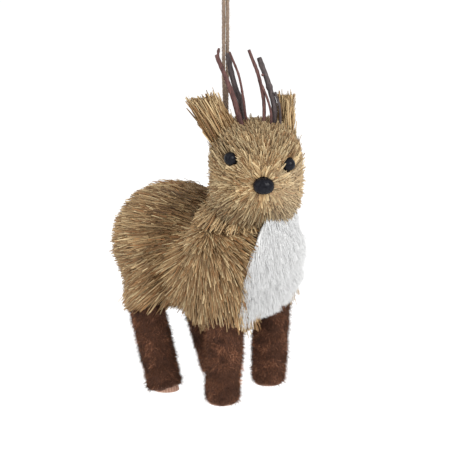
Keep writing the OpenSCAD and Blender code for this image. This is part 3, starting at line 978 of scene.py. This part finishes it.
def make_antlers(red, grey):
    """Every twig of both antlers; a piece may be a stem with a branch."""
    rng = np.random.default_rng(41)
    # For each piece its bark, its stems (path, radius, share of it at the tip) and its buds
    # (place, direction, size).
    plan = {
        "right_main": (red, [(RIGHT_MAIN, THICK, 0.65), (RIGHT_FORK, FINE, 0.85)],
                       [((-13.6, 2.2, 39.8), (-0.5, -0.6, 0.5), 0.55)]),
        "right_back": (grey, [(RIGHT_BACK, THICK, 0.85)], [((-10.0, 4.3, 40.0), (1, -0.3, 0.8), 0.45)]),
        "right_thin": (red, [(RIGHT_THIN, FINE, 0.85)], []),
        "left_main": (grey, [(LEFT_MAIN, THICK, 0.85)], [((6.9, 2.6, 31.0), (1, -0.4, 1.0), 0.75)]),
        "left_fork": (red, [(LEFT_THIN, SLIM, 0.85), (LEFT_BRANCH, FINE, 0.85)],
                      [((2.1, 3.6, 39.6), (1, -0.5, 0.4), 0.6)]),
        "left_side": (grey, [(LEFT_SIDE, FINE, 0.85)], []),
    }
    for name, (bark, stems, buds) in plan.items():
        parts = [twig_parts(points, r, tip, rng) for points, r, tip in stems]
        parts += [bud(place, way, size) for place, way, size in buds]
        verts, quads, tris = join_parts(parts)
        obj = build_mesh("twig_" + name, row(from_head(verts)), quads, tris, smooth=True)
        obj.data.materials.append(bark)
        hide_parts("antler_" + name)
        finish(obj, "deer")


# ---------------------------------------------------------------- twine
# One strand of the twine, from the knot to the loop, beside the line that it hangs on; the
# other strand is the same one turned half way around.
STRAND = [
    [0.8, 0, 116.3], [0.9, 0, 121], [1.1, 0.2, 127], [1.2, 0, 134], [1.1, -0.2, 141],
    [0.85, -0.3, 147], [0.5, -0.65, 153], [0.25, -0.8, 159], [0.4, -0.7, 164], [0.7, -0.45, 168],
    [1.1, -0.2, 171.5], [2.3, 0, 175.3], [3.9, 0, 179.5], [4.2, 0, 183], [2.6, 0, 186.2],
]
LOOP_TOP = [0, 0, 187]
TWINE_D = 1.4
KNOT_Z = 113.0


def make_twine(mat, fuzz_mat):
    """The doubled twine with its loose hairs and its knot."""
    rng = np.random.default_rng(53)
    other = [[-x, -y, z] for x, y, z in reversed(STRAND)]
    points = np.array(STRAND + [LOOP_TOP] + other, float) + (0, TWINE_BACK, 0)
    path = smooth_path(points, 20)
    ply_turn = 2 * math.pi / 3.4

    def plies(a, s):
        """Two plies laid round each other, each with finer yarns."""
        lay = np.abs(np.cos(a - ply_turn * s)) ** 0.7
        return 0.80 + 0.27 * lay + 0.045 * np.sin(9 * a + 2.6 * ply_turn * s)

    verts, quads, tris = swept(path, np.full(len(path), TWINE_D / 2), 28, plies)
    twine = build_mesh("jute_twine", row(verts), quads, tris, smooth=True)
    twine.data.materials.append(mat)

    count = 1500
    at = rng.integers(1, len(path) - 2, count)
    ahead = unit(path[at + 1] - path[at - 1])
    out = unit(np.cross(ahead, rng.normal(0, 1, (count, 3))))
    roots = path[at] + out * TWINE_D * 0.36
    way = unit(ahead * rng.choice([-1, 1], (count, 1)) + out * rng.uniform(0.1, 0.8, (count, 1)))
    tips = roots + way * rng.uniform(0.7, 2.4, (count, 1))
    tint = np.array([0.45, 0.33, 0.22]) * rng.uniform(0.7, 1.3, (count, 1))
    fuzz = fibres("jute_fuzz", roots, tips, out, rng.uniform(0.05, 0.11, count), tint, tint,
                  fuzz_mat, rng, flat=0.9, bend=0.2, point=0.3)
    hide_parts("hanging_twine")

    knot = make_knot(mat)
    for obj in (twine, fuzz):
        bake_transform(obj)


def make_knot(mat):
    """An overhand knot: the doubled strand wound once around itself over a firm heart."""
    def lay(a, s):
        return 1 + 0.12 * np.cos(2 * a - 1.9 * s)

    t = np.linspace(0, 2 * math.pi, 90)
    parts = []
    for tilt, r, lift in ((0.25, 1.55, -0.5), (-0.35, 1.6, 0.55)):
        ring = np.stack([r * np.cos(t), r * np.sin(t), lift + r * tilt * np.sin(t + 0.6)], axis=1)
        parts.append(swept(ring, np.full(len(t), 0.68), 14, lay))
    for x in (-0.75, 0.75):
        strand = np.array([[x * (1 - 0.3 * k), 0, -1.9 + 5.1 * k] for k in np.linspace(0, 1, 24)])
        parts.append(swept(strand, np.full(24, 0.68), 14, lay))
    verts, quads, tris = join_parts(parts)
    knot = build_mesh("jute_knot", row(verts + (0, TWINE_BACK, KNOT_Z)), quads, tris, smooth=True)
    knot.data.materials.append(mat)
    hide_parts("twine_knot")
    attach(knot, "twine_end")
    return knot


# ---------------------------------------------------------------- putting it together
def finish(obj, body):
    """Puts a piece on the body that carries it."""
    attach(obj, body)


def dress_cad_nodes():
    """Materials of the CAD pieces that are kept: the cores, the peg, the wire and the legs."""
    core = mottled("pressed_fibre", 500, [(0.3, (0.32, 0.24, 0.15)), (0.7, (0.5, 0.41, 0.29))])
    wood = wood_end_material()
    wire = mottled("binding_wire", 700, [(0.3, (0.35, 0.35, 0.36)), (0.7, (0.6, 0.6, 0.6))],
                   (0.3, 0.5), 0.00002, specular=0.5)
    looks = {"body_core": core, "head_core": core, "neck_dowel": wood, "leg_pegs": wood,
             "neck_binding": wire}
    looks.update({"leg_core_" + leg: wood for leg in LEGS})
    for node, mat in looks.items():
        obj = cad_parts[node]
        obj.data.materials.clear()
        obj.data.materials.append(mat)


make_camera()
make_studio()
jute = mottled("jute_yarn", 2600, [(0.25, (0.085, 0.056, 0.038)), (0.5, (0.20, 0.145, 0.108)),
                                   (0.8, (0.32, 0.25, 0.195))], (0.75, 0.95), 0.00012)
make_twine(jute, tinted_fibre("jute_hair", 0.8, 0.2, 0.0, 1500, 0.8, 1.1))
straw = tinted_fibre("straw_bristle", 0.62, 0.3, 0.0, 1300, 0.78, 1.12)
# Dark sheets inside the straw coats: painted shade seen between the bristles.
shade = mottled("straw_painted_shade", 900, [(0.3, (0.05, 0.03, 0.015)), (0.7, (0.15, 0.095, 0.05))],
                stretch=(1, 1, 0.4))
pale_shade = mottled("head_shade_sheet", 900, [(0.3, (0.11, 0.075, 0.042)), (0.7, (0.25, 0.175, 0.10))],
                     stretch=(1, 1, 0.4))
make_body_straw(straw, shade)
make_head_straw(straw, pale_shade)
make_ear("right", *EAR_RIGHT, 8.2, 4.9, 0.09, straw, 61)
make_ear("left", *EAR_LEFT, 5.2, 2.0, 0.0, straw, 67)
fur = tinted_fibre("white_fur", 0.7, 0.25, 0.2, 700, 0.95, 1.0)
cloth = mottled("fur_backing", 1200, [(0.3, (0.62, 0.62, 0.61)), (0.7, (0.74, 0.74, 0.73))])
make_chest_fur(fur, cloth)
pile = tinted_fibre("felt_pile", 0.85, 0.15, 0.0, 900, 0.75, 1.15)
felt = mottled("felt_ground", 1100, [(0.3, (0.03, 0.011, 0.006)), (0.7, (0.085, 0.034, 0.018))],
               (0.85, 1.0), 0.0004)
for number, (leg, numbers) in enumerate(LEGS.items()):
    make_leg(leg, *numbers, pile, felt, 70 + number)
make_beads(bead_material())
make_antlers(
    bark_material("bark_red", (0.04, 0.014, 0.012), (0.105, 0.042, 0.036), (0.2, 0.105, 0.088)),
    bark_material("bark_grey", (0.028, 0.02, 0.021), (0.07, 0.052, 0.052), (0.15, 0.12, 0.115)))
dress_cad_nodes()
